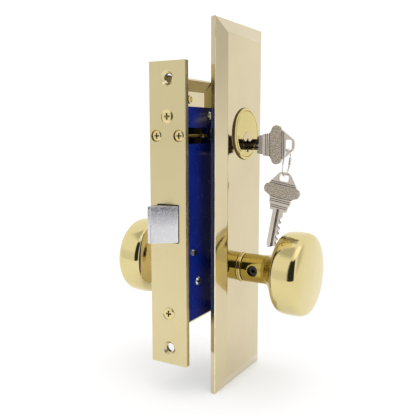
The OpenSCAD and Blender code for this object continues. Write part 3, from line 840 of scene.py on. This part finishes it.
def plates():
    low, high = corners("cylinder_body")
    cyl = ((low.y + high.y) / 2, (low.z + high.z) / 2)
    low, high = corners("outer_knob_ring")
    knob = ((low.y + high.y) / 2, (low.z + high.z) / 2)
    escutcheon("outer_plate_shape", "outer_plate", 1, 3.55, 4.5, 10.2, 1.4, 0.5, [(cyl, 15.2), (knob, 9.4)],
               "raw_brass_and_shade", 2)
    low, high = corners("inner_bushes")
    mid, r = (low.y + high.y) / 2, (high.y - low.y) / 2
    screws = [((mid, high.z - r), 2.1), ((mid, low.z + r), 2.1)]
    escutcheon("inner_plate_shape", "inner_plate", -1, 2.0, 3.4, 9.0, 1.3, 0.15, [(knob, 9.4)] + screws,
               "dull_brass_and_shade", 0.99)


# ---------------------------------------------------------------- knobs


def knob_side(side, sign):
    """Knob head, shank and ring of one side. sign is +1 outdoors."""
    low, high = corners(side + "_knob_head")
    at = ((low.y + high.y) / 2, (low.z + high.z) / 2)
    big = (high.z - low.z) / 2
    tip = high.x if sign > 0 else -low.x
    shift = 84.3 - tip

    def out(points):
        return [Vector((r, sign * (x - shift))) for r, x in points]

    outer = curve_through([(12.5, 53.4), (13.6, 54.0), (17.4, 56.7), (big - 6.9, 59.7), (big - 3.4, 61.6),
                           (big - 1.25, 63.6), (big - 0.3, 66.6), (big, 71), (big - 0.15, 76.2),
                           (big - 0.75, 79.2), (big - 2.6, 81.6), (big - 7.2, 83.1), (12, 84.0),
                           (0, 84.3)], 5)
    inner = curve_through([(0, 82.7), (12, 82.4), (big - 8, 81.6), (big - 4.4, 80.3), (big - 2.7, 78.4),
                           (big - 1.8, 75.8), (big - 1.6, 71), (big - 1.9, 66.9), (big - 2.8, 64.5),
                           (big - 4.5, 62.9), (big - 7.7, 61.2), (16.4, 58.2), (13.2, 55.9), (12.5, 55.4)], 3)
    piece(side + "_knob_head_shape", turned(out(outer + inner), at, "x", 160), "knobs", "polished_brass",
          [side + "_knob_head"], smooth=40)

    low, high = corners(side + "_knob_shank")
    start = low.x if sign > 0 else -high.x
    ring_low, ring_high = corners(side + "_knob_ring")
    face = (ring_high.x if sign > 0 else -ring_low.x) - 1.5 + 2.15
    screw_low, screw_high = corners(side + "_knob_screw")
    screw_x = (screw_low.x + screw_high.x) / 2
    end = shift
    profile = rounded([(5.7, start), (9, start, 0.2), (9, face, 0.05), (10.2, face, 0.35),
                       (10.2, 48.9 - end, 1.5), (10.9, 51.4 - end, 1.2), (12.1, 53 - end, 0.8),
                       (12.4, 56 - end, 0.3), (8, 57 - end, 0.3), (8, 64 - end, 0.3), (0, 64 - end),
                       (0, 62 - end), (5.7, 62 - end)], 0, 4)
    bm = turned([Vector((p.x, sign * p.y)) for p in supported(profile, 0.35)], at, "x", 128)
    hole = turned(rounded([(0, at[0] - 14), (4.2, at[0] - 14), (3.95, at[0] - 9.9), (3.9, at[0] - 4.5),
                           (0, at[0] - 4.5)]), (screw_x, at[1]), "y", 48)
    # The shank takes the darker brass copy, which paints in shade and inter-reflection
    piece(side + "_knob_shank_shape", cut(bm, [hole]), "knobs", "shank_brass_shaded", [side + "_knob_shank"],
          smooth=32)

    base = (ring_low.x if sign > 0 else -ring_high.x)
    profile = rounded([(9.3, base), (10.8, base, 0.15), (10.8, base + 1.45, 0.55),
                       (9.3, base + 1.45, 0.35)], 0, 4)
    bm = turned([Vector((p.x, sign * p.y)) for p in supported(profile, 0.15)], at, "x", 96)
    piece(side + "_knob_ring_shape", bm, "lock_case", "polished_brass", [side + "_knob_ring"],
          smooth=40)
    refined(side + "_knob_screw", 0.15, material="black_steel")


# ---------------------------------------------------------------- cylinder


def collar():
    low, high = corners("cylinder_collar")
    at = ((low.y + high.y) / 2, (low.z + high.z) / 2)
    r = (high.z - low.z) / 2
    swell = [(r - 1.75 * (1 - math.cos(a)), low.x + 0.12 + (high.x - low.x - 0.12) * math.sin(a))
             for a in (math.radians(10 * k) for k in range(9))]
    lip = [(16.25, high.x, 0.1), (16, high.x - 0.35, 0.1)]
    profile = rounded([(16, low.x), (r, low.x, 0.05)] + swell + lip, 0, 4)
    ob = piece("cylinder_collar_shape", turned(supported(profile, 0.15), at, "x", 128), "lock_case",
               "cylinder_brass", ["cylinder_collar"], smooth=40)
    # Painted shadow: the collar's outer wall gets dark brass, standing in for the shade where the collar meets the
    # plate
    repaint(ob, "raw_brass_and_shade", lambda at, normal: normal.x < 0.5 and at.x < high.x - 0.5)


# ---------------------------------------------------------------- keys


# The ring and the spare key hang as they do in the CAD model, in mm and degrees
HOLE_U = (20.9, 25.4)
HOLE_V = 3.4
WIRE_R = 0.55
RING_GAP = 0.35
RING_LEAN = 7
RING_YAW = 8
SPARE_LEAN = 10.3


def key_mesh():
    """A key in the X-Z plane, shoulder at the origin, blade towards -X, 2 mm thick. Returns a bmesh."""
    side = [(0, 6.1, 0.5), (4, 6.6, 0.4), (4.6, 7.4, 0.5), (9.2, 7.9, 1.2), (10.6, 10.6, 1.5),
            (11.4, 12.6, 2.2), (14.4, 13.5, 2.6), (17.3, 12.3, 2.2), (17.9, 10.2, 1.2), (20.2, 8.7, 1.2),
            (26, 4.3, 2.4), (27.2, 2.4, 1.6)]
    outline = rounded([(p[0], -p[1], p[2]) for p in side] + [(p[0], p[1], p[2]) for p in side[::-1]], 0, 4)
    hole = box_outline(HOLE_U[0], -HOLE_V, HOLE_U[1], HOLE_V, 1.3)

    def place(u, v, w):
        return (u, w - 1.0, v)

    bm = slab([(outline, rim(2.0, 0.28), False), (hole, rim(2.0, 0.35), True)], place)
    top = 3.8
    cuts = [1.6, 2.3, 1.3, 2.1, 1.7]
    blade = [(2.0, -top), (2.0, top)]
    for i, c in enumerate(cuts):
        x = -5.9 - 3.96 * i
        blade += [(x + 2, top), (x + 0.5, top - c), (x - 0.5, top - c), (x - 2, top)]
    blade = [(p[0], max(min(p[1], top), -top)) for p in blade]
    clean = [blade[0]]
    for p in blade[1:]:
        if abs(p[0] - clean[-1][0]) > 0.05 or abs(p[1] - clean[-1][1]) > 0.05:
            clean.append(p)
    clean += [(-24.1, top), (-27, 1.2 - top), (-24.4, -top)]
    clean = rounded(clean, 0.25, 2)
    shape = slab([(clean, rim(1.96, 0.16), False)], lambda u, v, w: (u, w - 0.98, v))
    bm = cut(bm, [shape], "UNION")
    tools = [block((-29, 0.32, -0.9), (1.4, 2, 0.9)), block((-29, -2, -2.6), (1.4, -0.62, -1.4)),
             block((-29, -2, 0.5), (1.4, -0.72, 5))]
    bm = cut(bm, tools)
    grooves = []
    for s in (1, -1):
        y0, y1 = (0.86, 2) if s > 0 else (-2, -0.86)
        for u, half in ((2.0, 9), (3.3, 9), (6.0, 9), (7.3, 9), (18.2, 10), (19.4, 10)):
            grooves.append(block((u, y0, -half), (u + 0.6, y1, half)))
        arc = [(9.9, -12.6), (9.0, -7), (8.7, 0), (9.0, 7), (9.9, 12.6), (10.4, 12.6), (9.55, 7),
               (9.25, 0), (9.55, -7), (10.4, -12.6)]
        y = 0.68 if s > 0 else -2.0
        grooves.append(slab([([Vector(p) for p in arc[::-1]], [(0, 0), (0, 1.32)], False)],
                            lambda u, v, w, y=y: (u, y + w, v)))
    return cut(bm, grooves)


def keys():
    low, high = corners("key")
    shoulder = Matrix.Translation(Vector((high.x - 27.1, (low.y + high.y) / 2, (low.z + high.z) / 2)))
    make_key("key", shoulder)
    joints = {j["name"]: j for j in frame["joints"]}
    pivot = Vector(joints["spare_key_swing"]["pos_m"]) / MM
    lean = Matrix.Rotation(math.radians(SPARE_LEAN - 90), 4, "Y")
    turn = Matrix.Rotation(math.pi, 4, "X")
    hang = Matrix.Translation((-(HOLE_U[1] - WIRE_R - RING_GAP), 0, 0))
    make_key("spare_key", Matrix.Translation(pivot) @ lean @ turn @ hang)


def make_key(node, matrix):
    bm = key_mesh()
    back = matrix.inverted()
    turn_back = back.to_3x3()
    bmesh.ops.transform(bm, matrix=matrix, verts=bm.verts)
    ob = piece(node + "_shape", bm, body_of[node], "nickel", [node], narrow=0.3)
    panel, milled_shade = [], []
    for f in ob.data.polygons:
        at = back @ (f.center / MM)
        flat = abs(abs(at.y) - 1.0) < 0.03
        panel.append(1.0 if flat and 9.4 < at.x < 18.8 else 0.0)
        # Faces that get painted shade: the blade's cut edges and the groove floors
        blade_cut = abs(at.y) < 0.93 and abs(at.z) < 3.75 and at.x < 1.38
        groove_floor = abs(at.y) < 0.93 and abs((turn_back @ f.normal).y) > 0.7
        milled_shade.append(1.0 if blade_cut or groove_floor else 0.0)
    ob.data.attributes.new("panel", "FLOAT", "FACE").data.foreach_set("value", panel)
    ob.data.attributes.new("milled_shade", "FLOAT", "FACE").data.foreach_set("value", milled_shade)


def ring():
    joints = {j["name"]: j for j in frame["joints"]}
    top = Vector(joints["ring_swing"]["pos_m"]) / MM
    bottom = Vector(joints["spare_key_swing"]["pos_m"]) / MM
    r = (top - bottom).length / 2
    yaw = Matrix.Rotation(math.radians(RING_YAW), 4, "Z")
    lean = Matrix.Rotation(math.radians(RING_LEAN), 4, "Y")
    place = Matrix.Translation(top) @ lean @ Matrix.Translation((0, 0, -r)) @ yaw
    bm = bmesh.new()
    steps, sides = 120, 14
    rows = []
    for i in range(steps):
        a = 2 * math.pi * i / steps
        row = []
        for k in range(sides):
            b = 2 * math.pi * k / sides
            q = r + WIRE_R * math.cos(b)
            at = Vector((WIRE_R * math.sin(b), q * math.cos(a), q * math.sin(a)))
            row.append(bm.verts.new(place @ at))
        rows.append(row)
    for i in range(steps):
        a, b = rows[i], rows[(i + 1) % steps]
        for k in range(sides):
            bm.faces.new([a[k], a[(k + 1) % sides], b[(k + 1) % sides], b[k]])
    piece("key_ring_shape", bm, "ring", "bright_steel", ["key_ring"], smooth=60)
    profile = rounded([(0.2, -2.4), (0.95, -2.4, 0.2), (1.05, -1.7, 0.3), (0.9, -1.1, 0.3), (0.9, -0.5, 0.3),
                       (1.05, 0, 0.3), (0.9, 0.5, 0.3), (0.9, 1.1, 0.3), (1.05, 1.7, 0.3),
                       (0.95, 2.4, 0.2), (0.2, 2.4)], 0, 3)
    bm = turned(profile, (0, 0), "x", 32)
    spin = place @ Matrix.Translation((0, r - 0.1, 0)) @ Matrix.Rotation(math.radians(90), 4, "Y")
    bmesh.ops.transform(bm, matrix=spin, verts=bm.verts)
    piece("ring_sleeve_shape", bm, "ring", "bright_steel", ["ring_sleeve"], smooth=40)


# ---------------------------------------------------------------- studio


def make_floor():
    """A pale sheet that ends in front of the lock, and glows further out so that it meets the tent."""
    bm = bmesh.new()
    floor_z = cad_box[0][2] - 0.00002
    side, front = 6.0, -0.52
    sheet = ((-side, front), (side, front), (side, side), (-side, side))
    verts = [bm.verts.new((x, y, floor_z)) for x, y in sheet]
    bm.faces.new(verts)
    mesh = bpy.data.meshes.new("floor")
    bm.to_mesh(mesh)
    bm.free()
    floor = bpy.data.objects.new("floor", mesh)
    scene.collection.objects.link(floor)
    g = Graph("floor_paper")
    g.join(g.mix(g.noise(3, detail=2), (0.95, 0.95, 0.95), (0.92, 0.92, 0.92)), g.shader.inputs["Base Color"])
    g.shader.inputs["Roughness"].default_value = 0.9
    g.shader.inputs["Specular IOR Level"].default_value = 0.1
    far = g.add("ShaderNodeVectorMath", operation="LENGTH")
    g.join(g.place, far.inputs[0])
    fade = g.span(far.outputs["Value"], 0.12, 0.6, 0.4, 1)
    glow = g.add("ShaderNodeEmission")
    mixer = g.add("ShaderNodeMixShader")
    g.join(fade, mixer.inputs[0])
    g.join(g.shader.outputs[0], mixer.inputs[1])
    g.join(glow.outputs[0], mixer.inputs[2])
    g.join(mixer.outputs[0], g.tree.nodes["Material Output"].inputs["Surface"])
    mesh.materials.append(g.material)


def make_tent():
    """A white tent with a dark opening on the photographer's side. Angles are in degrees, 0 towards -Y."""
    world = bpy.data.worlds.new("studio")
    scene.world = world
    world.use_nodes = True
    tree = world.node_tree
    back = tree.nodes["Background"]
    back.inputs["Strength"].default_value = 1.0

    def math_node(kind, a, b=None):
        node = tree.nodes.new("ShaderNodeMath")
        node.operation = kind
        for value, socket in ((a, node.inputs[0]), (b, node.inputs[1])):
            if isinstance(value, (int, float)):
                socket.default_value = value
            elif value is not None:
                tree.links.new(value, socket)
        return node.outputs[0]

    def inside(value, low, high, soft):
        """1 between low and high, in degrees, fading out over soft degrees."""
        out = None
        for edge, sign in ((low, 1), (high, -1)):
            node = tree.nodes.new("ShaderNodeMapRange")
            node.interpolation_type = "SMOOTHSTEP"
            node.inputs["From Min"].default_value = edge - sign * soft
            node.inputs["From Max"].default_value = edge + sign * soft
            tree.links.new(value, node.inputs["Value"])
            edge_value = node.outputs["Result"]
            out = edge_value if out is None else math_node("MULTIPLY", out, edge_value)
        return out

    place = tree.nodes.new("ShaderNodeTexCoord")
    parts = tree.nodes.new("ShaderNodeSeparateXYZ")
    tree.links.new(place.outputs["Generated"], parts.inputs[0])
    x, y, z = parts.outputs
    turn = math_node("MULTIPLY", math_node("ARCTAN2", x, math_node("MULTIPLY", y, -1)), 180 / math.pi)
    rise = math_node("MULTIPLY", math_node("ARCSINE", z), 180 / math.pi)
    opening = math_node("MULTIPLY", inside(turn, -13, 40, 2.5), inside(rise, -24, 46, 4))
    roof = math_node("MULTIPLY", inside(turn, -72, -14, 10), inside(rise, 50, 80, 7))
    dark = math_node("MAXIMUM", math_node("MULTIPLY", opening, 0.97), math_node("MULTIPLY", roof, 0.42))
    lamp = math_node("MULTIPLY", inside(turn, 20, 110, 8), inside(rise, 50, 80, 6))
    side = math_node("MULTIPLY", inside(turn, 72, 124, 14), inside(rise, 2, 45, 9))
    low = math_node("MULTIPLY", inside(turn, -70, -5, 12), inside(rise, -10, 14, 6))
    side = math_node("MAXIMUM", math_node("MULTIPLY", side, 0.3), math_node("MULTIPLY", low, 0.16))
    dark = math_node("MAXIMUM", dark, side)
    light = math_node("ADD", math_node("SUBTRACT", 1.0, dark), math_node("MULTIPLY", lamp, 0.35))
    # Seen directly, the tent is plain white
    direct = tree.nodes.new("ShaderNodeLightPath").outputs["Is Camera Ray"]
    light = math_node("MAXIMUM", light, direct)
    tone = tree.nodes.new("ShaderNodeCombineXYZ")
    for socket in tone.inputs:
        tree.links.new(light, socket)
    tree.links.new(tone.outputs[0], back.inputs["Color"])


def make_top_light():
    light = bpy.data.lights.new("top_light", "AREA")
    light.size = 1.0
    light.energy = 4
    ob = bpy.data.objects.new("top_light", light)
    place = Vector((0.15, -0.15, 1.1))
    aim = Vector((0, 0.05, 0))
    ob.location = place
    ob.rotation_euler = (aim - place).to_track_quat("-Z", "Y").to_euler()
    ob.visible_glossy = False
    scene.collection.objects.link(ob)


def set_exposure():
    scene.view_settings.view_transform = "Standard"
    scene.view_settings.exposure = 0.1


# ---------------------------------------------------------------- build

make_camera()
materials = make_materials()
make_floor()
make_tent()
make_top_light()
set_exposure()
front_plates()
front_screws()
latch()
latch_spring()
plates()
knob_side("outer", 1)
knob_side("inner", -1)
collar()
keys()
ring()
refined("case_body", 0.45, 3)
refined("case_cover", 0.45, 3)
refined("cylinder_body", 0.3, material="cylinder_brass")
refined("cylinder_plug", 0.28, material="plug_brass")

for name, ob in nodes.items():
    if not ob.hide_render:
        ob.data.materials.clear()
        ob.data.materials.append(materials[slots[name]])
